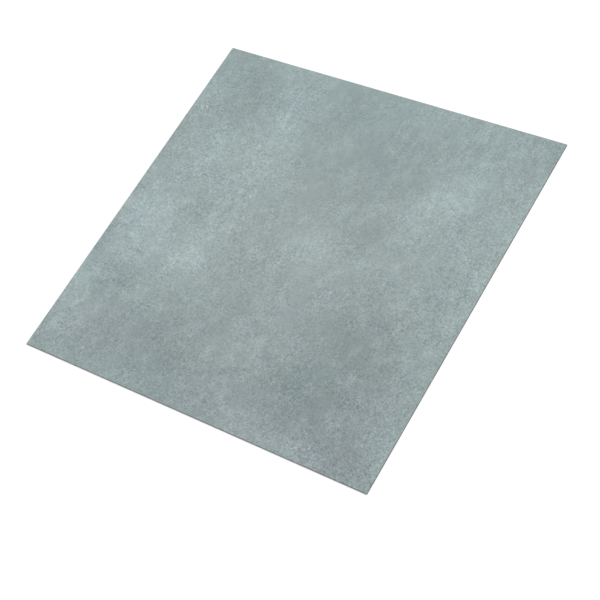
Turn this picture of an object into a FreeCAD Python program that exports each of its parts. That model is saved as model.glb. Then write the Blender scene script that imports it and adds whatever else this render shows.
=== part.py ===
"""Square vinyl floor tile of the glue-down kind, lying face up.

The tile is one hot-pressed sheet, die-cut square, so it is one solid. Its broad
faces are flat and parallel: the back at z = 0 and the wear face at z =
tile_thickness. The cut runs round all four sides with one section, from the top
down:

    arris     eased by the die, at the rim of the wear face
    land      upright, where the next tile butts
    back-cut  leaning in down to the back, so that the faces close up first

Millimetres, +Z up, origin at the centre of the back face.
"""
import FreeCAD, Part
import os

# Driving dimensions.
tile_side = 457.2        # edge to edge at the land, 18 inches, both ways
tile_thickness = 2.0     # back face to wear face
arris_radius = 0.15      # rounding of the wear face's rim
land_height = 0.9        # upright band of the cut, from the arris's top down
back_cut = 0.05          # how far the back face stands in from the land

UP = FreeCAD.Vector(0, 0, 1)


def square_outline(side, height):
    """A closed square wire of that side, centred on the Z axis, level at that height."""
    half = side / 2
    signs = [(-1, -1), (1, -1), (1, 1), (-1, 1)]
    corners = [FreeCAD.Vector(x * half, y * half, height) for x, y in signs]
    return Part.makePolygon(corners + corners[:1])


def top_face(solid):
    """The highest face of a solid."""
    return max(solid.Faces, key=lambda face: face.CenterOfMass.z)


def make_tile():
    """Back-cut lower half, lofted, under an upright land with an eased rim."""
    land_foot = tile_thickness - land_height
    back = square_outline(tile_side - 2 * back_cut, 0)
    foot = square_outline(tile_side, land_foot)
    lower = Part.makeLoft([back, foot], True, True)
    upper = Part.Face(foot).extrude(UP * land_height)
    blank = lower.fuse(upper).removeSplitter()
    return blank.makeFillet(arris_radius, top_face(blank).Edges)


PIECES = {"vinyl_tile": make_tile}

os.makedirs("parts", exist_ok=True)
for name, make in PIECES.items():
    shape = make()
    shape.exportStep(f"parts/{name}.step")
    print(name, "valid", shape.isValid(), "solids", len(shape.Solids),
          "faces", len(shape.Faces), "volume mm3", round(shape.Volume, 1))
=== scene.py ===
import math

import bpy
import numpy as np
from mathutils import Matrix, Vector


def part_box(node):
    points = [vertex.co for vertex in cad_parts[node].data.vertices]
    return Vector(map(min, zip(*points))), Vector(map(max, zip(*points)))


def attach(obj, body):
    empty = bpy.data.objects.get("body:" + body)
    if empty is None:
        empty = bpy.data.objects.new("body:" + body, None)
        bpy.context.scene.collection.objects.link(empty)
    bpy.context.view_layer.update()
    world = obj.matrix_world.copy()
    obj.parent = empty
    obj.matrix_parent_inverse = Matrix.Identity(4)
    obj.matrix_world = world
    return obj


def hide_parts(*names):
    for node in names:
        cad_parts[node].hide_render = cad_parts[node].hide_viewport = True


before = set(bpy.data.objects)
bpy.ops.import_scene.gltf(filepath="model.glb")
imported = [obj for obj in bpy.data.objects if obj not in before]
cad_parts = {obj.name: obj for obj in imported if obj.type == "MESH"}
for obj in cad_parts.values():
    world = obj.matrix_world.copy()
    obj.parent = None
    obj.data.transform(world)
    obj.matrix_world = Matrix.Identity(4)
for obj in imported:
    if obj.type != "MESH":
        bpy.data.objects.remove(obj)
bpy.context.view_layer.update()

# A square vinyl floor tile with a cloudy concrete print, lying face up on a studio floor.
# Lengths are in metres, and where they are given in millimetres they are times MM.

MM = 0.001

# Sizes of the tile, which its frame gives
tile_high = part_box("vinyl_tile")[1]
half_side = tile_high.x
thickness = tile_high.z

# Section of the die cut, the same as in the part's source
arris_radius = 0.15 * MM      # rounding of the wear face's rim
land_height = 0.9 * MM        # upright band, from the top down
back_cut = 0.05 * MM          # how far the back stands in from the land

# Depth of the clear wear film, from the top down
film_depth = 0.30 * MM

# Mesh of the tile
rim_share = 3                 # cells of the rim that meet one of the back
back_cells = 92               # cells of the back, each way
face_cells = rim_share * back_cells
arris_steps = 5               # facets round the arris
rim_band = 0.35 * MM          # narrow ring of the face beside the arris
back_ring = 3 * MM            # ring of the back that joins its cells to the rim's
sharp_angle = math.radians(35)

# Emboss of the wear face: cell size and depth of each layer, and the first one's turn in radians
emboss_layers = [(7.5 * MM, 0.022 * MM), (3.6 * MM, 0.014 * MM)]
emboss_turn = 0.6
lattice_size = 256            # random heights each way, after which they repeat

# Material slots, in the order in which the finishes are added
face_slot, cut_slot, back_slot = range(3)

# The tile's share of its texture map: the face, then the back beside it, then the four edges above
map_margin = 0.008
map_face = 0.80
map_back = 0.16
map_edge = 0.034

# Colours, linear
print_colour = (0.298, 0.3605, 0.364)    # blue-grey ground of the print
grain_colour = (0.315, 0.349, 0.352)     # its grain, greyer than the ground
core_colour = (0.150, 0.142, 0.140)      # vinyl filled with limestone, where it is cut
film_colour = (0.150, 0.155, 0.155)      # clear wear film, where it is cut
back_colour = (0.195, 0.190, 0.187)      # filled vinyl, where it is sanded
floor_colour = (0.80, 0.80, 0.80)
white = (1, 1, 1)

# How far a noise is moved along each axis for each seed
seed_step = (1.37, -0.91, 0.53)

# Two drifts by which the clouds' outlines wander: the size and detail of each one's lumps, and its reach
drifts = [(0.055, 0, 0.030), (0.016, 1, 0.016)]

# Strength of the clouds and the mottle, as shares of the ground
cloud_strength = 1.23
mottle_strength = 0.16
mottle_skew = 1.2             # makes the pale mottle stronger than the dark

# Strength of each layer of the grain, as a share of its colour
coarse_strength = 0.15
fine_strength = 0.45
speck_strength = 0.6
fleck_strength = 0.75
fleck_level = 0.36            # noise above this is a fleck

# How far the grain's contrast follows the tone, and how far it has patches of its own
tone_contrast = 1.5
patch_contrast = 0.85

# Tint: the red and blue that the whole print lacks, and a blush that adds red and takes some blue
red_lack = 0.021
blue_lack = 0.006
blush_strength = 0.02
blush_blue = 0.5              # blue taken for each share of red

# Roughness and relief of the wear film
film_roughness = 0.62
grain_roughness = 0.05
fine_relief = 0.09 * MM
pore_relief = 0.07 * MM

# The cut: tone of its layers, then roughness and relief, and how far the film's lower edge is dragged
drag_tone = 0.16
filler_tone = 0.10
cut_roughness = 0.75
drag_roughness = 0.10
drag_relief = 0.04 * MM
film_drag = 0.02 * MM

# The back: tone of its layers, then roughness and relief
fine_sanding_tone = 0.12
broad_sanding_tone = 0.08
back_patch_tone = 0.06
back_roughness = 0.75
sanding_roughness = 0.06
sanding_relief = 0.06 * MM

# Studio
floor_reach = 4                       # half a side of the floor
floor_glow = 0.26                     # what the floor adds on the rays that show it, so that it is white
fill_light = 0.30                     # strength of the white surround, where it lights things
lamp_energy = 2.46
lamp_width = math.radians(28)         # how wide the lamp looks from the tile
lamp_bearing = math.radians(52)       # from +X towards +Y
lamp_height = math.radians(60)        # above the floor
lamp_distance = 2                     # only keeps it clear of the tile, because it lights as a sun does

# Camera, at the photograph's viewing angle
camera_azimuth = math.radians(53.55)      # 0 looks along +Y
camera_elevation = math.radians(54.35)
camera_roll = math.radians(-26.98)        # about the line of sight
camera_distance = 1.606
camera_target = Vector((0.0459, -0.0585, thickness))
camera_lens = 88.36                       # in millimetres, as is the sensor
camera_sensor = 36

# Clouds of the print. Place from the tile's middle and reach along and across in millimetres,
# turn in degrees, and tone at the middle in percent, which cloud_strength then multiplies.
pale_clouds = [
    (-188, -18, 38, 40, 0, 14),
    (-150, -58, 65, 24, -5, 8),
    (-108, -46, 22, 50, 0, 12),
    (-95, 122, 25, 55, 0, 13),
    (-80, 46, 30, 38, 0, 4),
    (-156, 88, 40, 28, 15, 9),
    (-150, 30, 110, 130, 0, 5),
    (20, 6, 32, 28, -35, 16),
    (138, 112, 25, 46, -24, 14),
    (150, 110, 90, 110, 0, 4),
    (-118, 228, 36, 24, 0, 10),
    (85, 226, 60, 24, 0, 7),
    (225, 120, 24, 30, 0, 9),
    (222, 10, 18, 50, 0, 6),
    (-218, -124, 22, 26, 0, 15),
    (-212, -168, 26, 30, 0, 8),
    (-220, 158, 20, 30, 0, 7),
    (58, -202, 18, 16, 0, 9),
    (118, -224, 30, 14, 0, 8),
    (20, -136, 30, 14, -15, 9),
    (-108, -214, 22, 20, 0, 6),
    (-128, -122, 16, 26, 0, 5),
    (-208, 163, 14, 14, 0, 6),
    (95, 95, 34, 12, 70, 4),
    (226, -180, 12, 20, 0, 7),
    (94, 0, 26, 10, 50, 9),
]
dark_clouds = [
    (110, -152, 62, 50, 0, -13),
    (125, -78, 52, 36, 0, -12),
    (168, -112, 32, 62, 0, -9),
    (195, -212, 44, 36, 0, -12),
    (-105, -182, 68, 30, 12, -6),
    (-55, -188, 24, 18, 0, -4),
    (-90, -138, 50, 26, 5, -5),
    (-20, -195, 200, 60, 0, -7),
    (42, 135, 46, 50, 0, -6),
    (-172, 178, 26, 46, 0, -9),
    (-34, 196, 18, 30, 0, -6),
    (76, 34, 20, 24, 0, -8),
    (118, -20, 16, 15, 0, -6),
    (-14, -86, 18, 22, 0, -5),
    (-45, -48, 32, 32, 0, -3),
    (-38, -112, 16, 22, 0, -6),
    (-222, -62, 18, 28, 0, -9),
    (122, -188, 16, 18, 0, -6),
    (118, 195, 26, 14, 40, -6),
    (198, 3, 14, 18, 0, -6),
    (85, 132, 40, 14, 50, -4),
    (-174, -112, 18, 24, 0, -8),
    (-126, 3, 18, 13, 0, -10),
    (222, 190, 20, 34, 0, -4),
]

# Zones of the print, listed the same way: where its grain is stronger or weaker, how strong the trowel's
# drags are, and where it has more or less red and blue
grain_zones = [
    (-12, 135, 75, 100, 0, -36),
    (-23, 15, 40, 60, 0, -18),
    (-110, 225, 90, 30, 0, -16),
    (145, 150, 45, 60, 0, -16),
    (-125, 20, 65, 100, 0, 20),
    (220, 0, 40, 200, 0, 18),
    (130, -220, 130, 50, 0, 32),
    (190, -150, 60, 80, 0, 20),
    (-218, -112, 30, 40, 0, 26),
    (-10, 220, 200, 32, 0, -18),
    (-24, 60, 22, 110, 0, -12),
    (210, 12, 30, 32, 0, 20),
    (212, -214, 30, 26, 0, 22),
    (68, -212, 28, 24, 0, 14),
    (-160, -212, 26, 24, 0, 16),
    (-23, -162, 25, 24, 0, 18),
    (-66, -24, 24, 26, 0, 22),
    (-208, 24, 26, 26, 0, 14),
    (-160, -70, 26, 24, 0, -16),
    (160, 115, 26, 30, 0, -14),
]
drag_zones = [
    (110, 190, 140, 60, 0, 12),
    (-106, 170, 20, 40, 0, 12),
    (200, -60, 40, 150, 0, 6),
]
red_zones = [
    (10, -30, 215, 175, 0, 4.2),
    (25, 5, 50, 40, 0, 0.5),
    (-30, 215, 210, 55, 0, -1.3),
    (105, -140, 45, 40, 0, -1.5),
    (-165, -180, 52, 38, 0, 3.0),
    (100, -207, 115, 29, 0, 2.9),
    (183, -165, 28, 50, 0, 2.5),
    (-225, -110, 20, 45, 0, -2),
]
blue_zones = [
    (100, -207, 115, 28, 0, 3.4),
    (183, -168, 27, 48, 0, 3.3),
    (-150, -190, 70, 30, 0, 2.8),
    (-90, 195, 140, 40, 0, 1.5),
    (-200, -30, 40, 80, 0, 1.5),
]

# Thin strokes that a trowel left, pale and dark, listed the same way
strokes = [
    (-104, 180, 1.5, 27, 0, 18),
    (-102, 158, 2.2, 3, 0, 14),
    (-100, 148, 1.4, 11, 15, 18),
    (-95.5, 155, 1.3, 15, 5, -15),
    (-110, 138, 1.3, 13, 2, 8),
]


class Wire:
    """A node's output socket with arithmetic: Math nodes on numbers, Vector Math nodes on vectors."""

    def __init__(self, finish, socket):
        self.finish = finish
        self.socket = socket
        self.is_vector = socket.type in ("VECTOR", "RGBA")

    def output(self, name):
        """Another output of the same node."""
        return Wire(self.finish, self.socket.node.outputs[name])

    def __add__(self, other):
        return self.finish.work("ADD", self, other)

    def __radd__(self, other):
        return self.finish.work("ADD", other, self)

    def __sub__(self, other):
        return self.finish.work("SUBTRACT", self, other)

    def __rsub__(self, other):
        return self.finish.work("SUBTRACT", other, self)

    def __mul__(self, other):
        return self.finish.work("MULTIPLY", self, other)

    def __rmul__(self, other):
        return self.finish.work("MULTIPLY", other, self)

    def __rpow__(self, other):
        return self.finish.work("POWER", other, self)


class Finish:
    """The nodes of one material or of the world."""

    def __init__(self, owner):
        owner.use_nodes = True
        self.owner = owner
        self.tree = owner.node_tree
        self.tree.nodes.clear()

    def node(self, kind, settings=None, sockets=None):
        """Adds a node of that type, its settings first and then its sockets' values or links.

        Gives the node's first output, or none where it has no output.
        """
        made = self.tree.nodes.new("ShaderNode" + kind)
        for name, value in (settings or {}).items():
            setattr(made, name, value)
        for name, value in (sockets or {}).items():
            if isinstance(value, Wire):
                self.tree.links.new(value.socket, made.inputs[name])
            else:
                made.inputs[name].default_value = value
        return Wire(self, made.outputs[0]) if made.outputs else None

    def work(self, operation, first, second):
        """A Math or Vector Math node on two terms. Beside a vector a number counts for all three axes."""
        terms = [first, second]
        vectors = any(isinstance(t, tuple) or isinstance(t, Wire) and t.is_vector for t in terms)
        if vectors:
            terms = [(t, t, t) if isinstance(t, (int, float)) else t for t in terms]
        kind = "VectorMath" if vectors else "Math"
        return self.node(kind, {"operation": operation}, dict(enumerate(terms)))

    def place(self):
        """Where a point of the piece is, in metres."""
        return self.node("TexCoord").output("Object")

    def stretched(self, place, stretch):
        """A place at which a pattern is drawn out by that much along x, y and z."""
        return self.node("Mapping", {"vector_type": "TEXTURE"}, {"Vector": place, "Scale": stretch})

    def noise(self, place, size, detail=0, roughness=0.5, seed=0):
        """Smooth noise, mostly from -1 to 1, in lumps of about that size."""
        shifted = place + tuple(seed * step for step in seed_step)
        sockets = {"Vector": shifted, "Scale": 1 / size, "Detail": detail, "Roughness": roughness}
        return self.node("TexNoise", {}, sockets) * 2 - 1

    def surface(self, colour, roughness, height, specular):
        """Ends the material: a matte shader whose bump is the height in metres."""
        bump = self.node("Bump", {}, {"Strength": 1, "Distance": 1, "Height": height})
        sockets = {
            "Base Color": colour,
            "Roughness": roughness,
            "Specular IOR Level": specular,
            "Normal": bump,
        }
        shader = self.node("BsdfPrincipled", {}, sockets)
        self.node("OutputMaterial", {}, {"Surface": shader})
        return self.owner


class Skin:
    """The points and faces of one closed mesh, and each face's slot and corners on the texture map."""

    def __init__(self):
        self.points = []
        self.corners = []
        self.maps = []
        self.slots = []
        self.count = 0

    def add_points(self, points):
        """Adds points (x, y, z) and gives the number of the first."""
        first = self.count
        self.points.append(points)
        self.count += len(points)
        return first

    def add_faces(self, corners, uv, slot):
        """Adds faces by their corners' numbers and the corners' places on the texture map."""
        self.corners.extend(corners.tolist())
        self.maps.append(uv.reshape(-1, 2))
        self.slots.append(np.full(len(corners), slot))

    def mesh(self, name):
        """The mesh, shaded smooth but for edges sharper than sharp_angle."""
        mesh = bpy.data.meshes.new(name)
        mesh.from_pydata(np.concatenate(self.points), [], self.corners)
        mesh.polygons.foreach_set("material_index", np.concatenate(self.slots).astype(np.int32))
        mesh.polygons.foreach_set("use_smooth", np.ones(len(self.corners), bool))
        layer = mesh.uv_layers.new(name="OFBake")
        layer.uv.foreach_set("vector", np.concatenate(self.maps).astype(np.float32).ravel())
        mesh.set_sharp_from_angle(angle=sharp_angle)
        return mesh


def lattice_noise(x, y, cell, seed):
    """Random heights h from -1 to 1 on a lattice, smoothly joined.

    The lattice is turned by emboss_turn + seed radians. With i, j the lattice square, and s, t the way
    across it, each smoothed by w^2 (3 - 2w),
    z = (1-s)(1-t) h[i,j] + s (1-t) h[i+1,j] + (1-s) t h[i,j+1] + s t h[i+1,j+1].
    """
    heights = np.random.default_rng(seed).uniform(-1, 1, (lattice_size, lattice_size))
    turn = emboss_turn + seed
    u = (x * math.cos(turn) + y * math.sin(turn)) / cell
    v = (y * math.cos(turn) - x * math.sin(turn)) / cell
    i, j = np.floor(u).astype(int), np.floor(v).astype(int)
    s, t = u - i, v - j
    s, t = s * s * (3 - 2 * s), t * t * (3 - 2 * t)

    def height(a, b):
        return heights[a % lattice_size, b % lattice_size]

    near = (1 - s) * height(i, j) + s * height(i + 1, j)
    far = (1 - s) * height(i, j + 1) + s * height(i + 1, j + 1)
    return (1 - t) * near + t * far


def emboss_depth(x, y):
    """How far the wear face lies below its highest level.

    It is the sum over the layers of depth (1 - noise) / 2, each with its number as the noise's seed.
    """
    total = 0
    for seed, (cell, depth) in enumerate(emboss_layers):
        total = total + depth * (1 - lattice_noise(x, y, cell, seed)) / 2
    return total


def square_grid(cells, half):
    """Points (x, y) of a square grid and its cells, anticlockwise.

    x = half u and y = half v, where u and v run from -1 to 1.
    """
    line = np.linspace(-half, half, cells + 1)
    y, x = np.meshgrid(line, line, indexing="ij")
    row, column = np.meshgrid(np.arange(cells), np.arange(cells), indexing="ij")
    corner = (row * (cells + 1) + column).ravel()
    step = np.array([0, 1, cells + 2, cells + 1])
    return np.stack([x.ravel(), y.ravel()], 1), corner[:, None] + step


def square_loop(cells):
    """Points round the square from -1 to 1, anticlockwise from its lowest corner, a side at a time."""
    t = np.arange(cells) / cells * 2 - 1
    one = np.ones(cells)
    sides = [(t, -one), (one, t), (-t, one), (-one, -t)]
    return np.concatenate([np.stack(side, 1) for side in sides])


def loop_in_grid(cells):
    """The numbers of a square grid's points round its edge, in the order of square_loop."""
    t = np.arange(cells)
    last = cells * (cells + 1)
    sides = [t, cells + t * (cells + 1), last + cells - t, last - t * (cells + 1)]
    return np.concatenate(sides)


def cut_profile():
    """The cut's section from the face's rim band down: inset from the land, height, share of the emboss.

    Round the arris of radius r the angle a runs from 0 to 90 degrees: inset = r (1 - sin a),
    height = top - r (1 - cos a) and share = cos a.
    """
    angle = np.linspace(0, math.pi / 2, arris_steps + 1)
    inset = arris_radius * (1 - np.sin(angle))
    height = thickness - arris_radius * (1 - np.cos(angle))
    arris = np.stack([inset, height, np.cos(angle)], 1)
    below = [(0, thickness - land_height, 0), (back_cut, 0, 0)]
    return np.concatenate([arris, below])


def face_map(xy):
    """Where a point of the face is on the texture map: (xy / half side + 1) / 2 of the face's share."""
    return map_margin + (xy / half_side + 1) / 2 * map_face


def back_map(xy):
    """Where a point of the back is on the texture map: beside the face, in a narrower share along x.

    The sanding runs along x, so it loses little there.
    """
    u = 2 * map_margin + map_face + (xy[..., 0] / half_side + 1) / 2 * map_back
    v = map_margin + (xy[..., 1] / half_side + 1) / 2 * map_face
    return np.stack([u, v], -1)


def wear_face(skin):
    """The wear face: a grid over x and y at height top - emboss depth.

    Gives the numbers and the places (x, y) of the points round its edge.
    """
    plan, cells = square_grid(face_cells, half_side - arris_radius - rim_band)
    depth = emboss_depth(plan[:, 0], plan[:, 1])
    skin.add_points(np.column_stack([plan, thickness - depth]))
    skin.add_faces(cells, face_map(plan)[cells], face_slot)
    edge = loop_in_grid(face_cells)
    return edge, plan[edge]


def cut_edge(skin, edge, edge_plan):
    """The rim band, arris, land and back-cut: one ring for each point of the cut's profile.

    A ring is the square's outline times (half side - inset), at the profile's height less its share of
    the emboss depth. Gives the numbers of the lowest ring's points.
    """
    around = square_loop(face_cells)
    column = np.arange(len(around))
    following = (column + 1) % len(around)
    side = column // face_cells
    along = (column % face_cells) / face_cells
    across = along[:, None] + np.array([0, 0, 1, 1]) / face_cells
    u = map_margin + across * (1 - 2 * map_margin)
    edge_low = 2 * map_margin + map_face + side * (map_edge + map_margin)
    profile = cut_profile()
    steps = np.diff(profile[:, :2], axis=0)
    run = np.concatenate([[0], np.cumsum(np.hypot(*steps.T))])
    above = edge
    for level, (inset, height, share) in enumerate(profile):
        ring = around * (half_side - inset)
        sunk = share * emboss_depth(ring[:, 0], ring[:, 1])
        below = skin.add_points(np.column_stack([ring, height - sunk])) + column
        faces = np.stack([above, below, below[following], above[following]], 1)
        if level == 0:
            band = np.stack([edge_plan, ring, ring[following], edge_plan[following]], 1)
            skin.add_faces(faces, face_map(band), face_slot)
        else:
            up = 1 - np.array([run[level - 1], run[level], run[level], run[level - 1]]) / run[-1]
            v = edge_low[:, None] + up * map_edge
            slot = face_slot if level <= arris_steps // 2 else cut_slot
            skin.add_faces(faces, np.stack([u, v], 2), slot)
        above = below
    return above


def flat_back(skin, rim):
    """The back: a coarser grid at height 0, joined to the rim by a ring of triangles.

    In the ring rim_share cells of the rim meet one side of a cell of the back: half of them, rounded up,
    fan out from the side's start, then comes the side's own triangle, and the rest fan out from its end.
    """
    plan, cells = square_grid(back_cells, half_side - back_cut - back_ring)
    first = skin.add_points(np.column_stack([plan, np.zeros(len(plan))]))
    cells = cells[:, ::-1]
    skin.add_faces(first + cells, back_map(plan[cells]), back_slot)

    places = np.concatenate([plan, square_loop(face_cells) * (half_side - back_cut)])
    numbers = np.concatenate([first + np.arange(len(plan)), rim])
    column = np.arange(len(rim)).reshape(-1, rim_share)
    start = len(plan) + column
    end = len(plan) + (column + 1) % len(rim)
    here = loop_in_grid(back_cells)
    there = np.roll(here, -1)
    from_start = (rim_share + 1) // 2
    triangles = []
    for cell in range(rim_share):
        tip = here if cell < from_start else there
        triangles.append((start[:, cell], tip, end[:, cell]))
    triangles.insert(from_start, (end[:, from_start - 1], here, there))
    for triangle in triangles:
        corners = np.stack(triangle, 1)
        skin.add_faces(numbers[corners], back_map(places[corners]), back_slot)


def tile_mesh():
    """The whole skin of the tile as one closed mesh: the wear face, the cut round it and the back."""
    skin = Skin()
    edge, edge_plan = wear_face(skin)
    rim = cut_edge(skin, edge, edge_plan)
    flat_back(skin, rim)
    return skin.mesh("tile_skin")


def clouded(finish, place, clouds):
    """The sum over the clouds of tone exp(-d.d), d being the way from a cloud's middle in its own reaches.

    The way is worked out in Vector Math nodes, because a hundred Mapping nodes are more than a shader
    holds, and it then renders black.
    """
    total = 0
    for x, y, along, across, turn, tone in clouds:
        way = place - (x * MM, y * MM, 0)
        if turn:
            sockets = {"Vector": way, "Angle": math.radians(-turn)}
            way = finish.node("VectorRotate", {"rotation_type": "Z_AXIS"}, sockets)
        way = way * (1 / (along * MM), 1 / (across * MM), 0)
        square = finish.work("DOT_PRODUCT", way, way).output("Value")
        total = total + (1 / math.e) ** square * (tone / 100)
    return total


def printed_film():
    """Cloudy concrete print under a matte wear film.

    The tone is the clouds and the mottle, then the trowel's drags and strokes. The grain is its four
    layers times a contrast. The colour is (1 + tint) (1 + tone) ground + grain.
    """
    finish = Finish(bpy.data.materials.new("printed_concrete_film"))
    place = finish.place()

    # Clouds with wandering outlines, and the mottle
    drifted = place
    for size, detail, reach in drifts:
        sockets = {"Vector": place, "Scale": 1 / size, "Detail": detail}
        wander = finish.node("TexNoise", {}, sockets).output("Color") - 0.5
        drifted = drifted + wander * reach
    clouds = clouded(finish, drifted, pale_clouds + dark_clouds)
    drawn = finish.stretched(place, (1, 1.25, 1))
    mottle = finish.noise(drawn, size=0.017, detail=1, roughness=0.9, seed=1)
    tone = clouds * cloud_strength + (mottle * mottle_skew + 1) * mottle * mottle_strength

    # Grain, stronger where the print is paler and in patches and zones of its own
    patches = finish.noise(place, size=0.028, detail=1, seed=9)
    zones = clouded(finish, drifted, grain_zones)
    contrast = 1 + tone * tone_contrast + patches * patch_contrast + zones
    coarse = finish.noise(drawn, size=0.0052, detail=1, roughness=0.9, seed=2)
    fine = finish.noise(place, size=0.0019, detail=3, seed=10)
    speck = finish.noise(place, size=0.0024, seed=11)
    peaks = finish.noise(place, size=0.0019, seed=14)
    fleck = finish.work("MAXIMUM", peaks - fleck_level, 0)
    even = coarse * coarse_strength + fine * fine_strength
    sparse = speck * speck * speck * speck_strength + fleck * fleck_strength
    grain = (even + sparse) * contrast

    # Faint trowel drags along y, in zones of their own, and single strokes
    lengthways = finish.stretched(place, (1, 7, 1))
    drags = finish.noise(lengthways, size=0.006, detail=1, roughness=0.8, seed=12)
    tone = tone + drags * clouded(finish, drifted, drag_zones) + clouded(finish, place, strokes)

    # Tint
    blush = finish.noise(place, size=0.030, detail=1, seed=13) * blush_strength
    red = clouded(finish, drifted, red_zones) + blush - red_lack
    blue = clouded(finish, drifted, blue_zones) - blush * blush_blue - blue_lack
    tint = finish.node("CombineXYZ", {}, {"X": red, "Y": 0.0, "Z": blue})

    colour = (tint + 1) * (tone + 1) * print_colour + grain * grain_colour
    roughness = film_roughness + grain * grain_roughness
    pores = finish.noise(place, size=0.0007, detail=1, roughness=0.7, seed=3)
    height = fine * fine_relief + pores * pore_relief
    return finish.surface(colour, roughness, height, specular=0.35)


def cut_core():
    """Die-cut filled vinyl: fine upright drag lines from the die and pale specks of filler.

    The clear film shows where the height, moved a little by the drag lines, is above top - film depth.
    """
    finish = Finish(bpy.data.materials.new("cut_filled_vinyl"))
    place = finish.place()
    upright = finish.stretched(place, (1, 1, 12))
    drag = finish.noise(upright, size=0.0005, detail=2, roughness=0.7, seed=4)
    filler = finish.noise(place, size=0.00035, detail=1, seed=5)
    height = finish.node("SeparateXYZ", {}, {"Vector": place}).output("Z")
    film = finish.work("GREATER_THAN", height + drag * film_drag, thickness - film_depth)
    ground = film * film_colour + (1 - film) * core_colour
    colour = (drag * drag_tone + filler * filler_tone + 1) * ground
    roughness = cut_roughness + drag * drag_roughness
    return finish.surface(colour, roughness, drag * drag_relief, specular=0.10)


def sanded_back():
    """Back of filled vinyl, sanded to thickness along x: fine and broad lines and slow patches."""
    finish = Finish(bpy.data.materials.new("sanded_vinyl_back"))
    place = finish.place()
    thin = finish.stretched(place, (60, 1, 1))
    fine = finish.noise(thin, size=0.0009, detail=2, roughness=0.7, seed=6)
    wide = finish.stretched(place, (25, 1, 1))
    broad = finish.noise(wide, size=0.007, detail=2, roughness=0.6, seed=7)
    patches = finish.noise(place, size=0.06, detail=3, seed=8)
    tone = fine * fine_sanding_tone + broad * broad_sanding_tone + patches * back_patch_tone
    colour = (tone + 1) * back_colour
    roughness = back_roughness + fine * sanding_roughness
    return finish.surface(colour, roughness, fine * sanding_relief, specular=0.30)


def seen_ray(finish):
    """1 on the rays that show the background, straight or in a reflection, and 0 on those that light."""
    path = finish.node("LightPath")
    straight = path.output("Is Camera Ray")
    mirrored = finish.work("MAXIMUM", path.output("Is Glossy Ray"), path.output("Is Transmission Ray"))
    return finish.work("MAXIMUM", straight, mirrored)


def studio_floor():
    """A pale floor that shows white and keeps the tile's shadow."""
    mesh = bpy.data.meshes.new("studio_floor")
    signs = [(-1, -1), (1, -1), (1, 1), (-1, 1)]
    corners = [(x * floor_reach, y * floor_reach, 0) for x, y in signs]
    mesh.from_pydata(corners, [], [(0, 1, 2, 3)])
    finish = Finish(bpy.data.materials.new("pale_floor"))
    lit = finish.node("BsdfDiffuse", {}, {"Color": (*floor_colour, 1)})
    strength = seen_ray(finish) * floor_glow
    glow = finish.node("Emission", {}, {"Color": (*white, 1), "Strength": strength})
    both = finish.node("AddShader", {}, {0: lit, 1: glow})
    finish.node("OutputMaterial", {}, {"Surface": both})
    mesh.materials.append(finish.owner)
    floor = bpy.data.objects.new("studio_floor", mesh)
    bpy.context.scene.collection.objects.link(floor)


def studio_light():
    """A white surround that fills the shadows, and one wide soft lamp from the tile's north-east."""
    world = bpy.data.worlds.new("white_surround")
    bpy.context.scene.world = world
    finish = Finish(world)
    strength = seen_ray(finish) * (1 - fill_light) + fill_light
    sky = finish.node("Background", {}, {"Color": (*white, 1), "Strength": strength})
    finish.node("OutputWorld", {}, {"Surface": sky})

    lamp = bpy.data.lights.new("soft_lamp", "SUN")
    lamp.energy = lamp_energy
    lamp.angle = lamp_width
    lamp_object = bpy.data.objects.new("soft_lamp", lamp)
    towards = Vector((
        math.cos(lamp_bearing) * math.cos(lamp_height),
        math.sin(lamp_bearing) * math.cos(lamp_height),
        math.sin(lamp_height),
    ))
    lamp_object.rotation_euler = towards.to_track_quat("Z", "Y").to_euler()
    lamp_object.location = towards * lamp_distance
    bpy.context.scene.collection.objects.link(lamp_object)


def camera():
    """The photograph's view: the camera stands back from its target, rolled about its line of sight."""
    back = Vector((
        math.sin(camera_azimuth) * math.cos(camera_elevation),
        -math.cos(camera_azimuth) * math.cos(camera_elevation),
        math.sin(camera_elevation),
    ))
    level = Vector((math.cos(camera_azimuth), math.sin(camera_azimuth), 0))
    upward = back.cross(level)
    right = level * math.cos(camera_roll) + upward * math.sin(camera_roll)
    up = back.cross(right)
    data = bpy.data.cameras.new("camera")
    data.sensor_width = camera_sensor
    data.lens = camera_lens
    made = bpy.data.objects.new("camera", data)
    stand = Matrix.Translation(camera_target + back * camera_distance)
    made.matrix_world = stand @ Matrix((right, up, back)).transposed().to_4x4()
    bpy.context.scene.collection.objects.link(made)
    bpy.context.scene.camera = made


tile = bpy.data.objects.new("floor_tile", tile_mesh())
bpy.context.scene.collection.objects.link(tile)
for make in (printed_film, cut_core, sanded_back):
    tile.data.materials.append(make())
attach(tile, "root")
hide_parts("vinyl_tile")

studio_floor()
studio_light()
camera()
bpy.context.scene.view_settings.view_transform = "Standard"
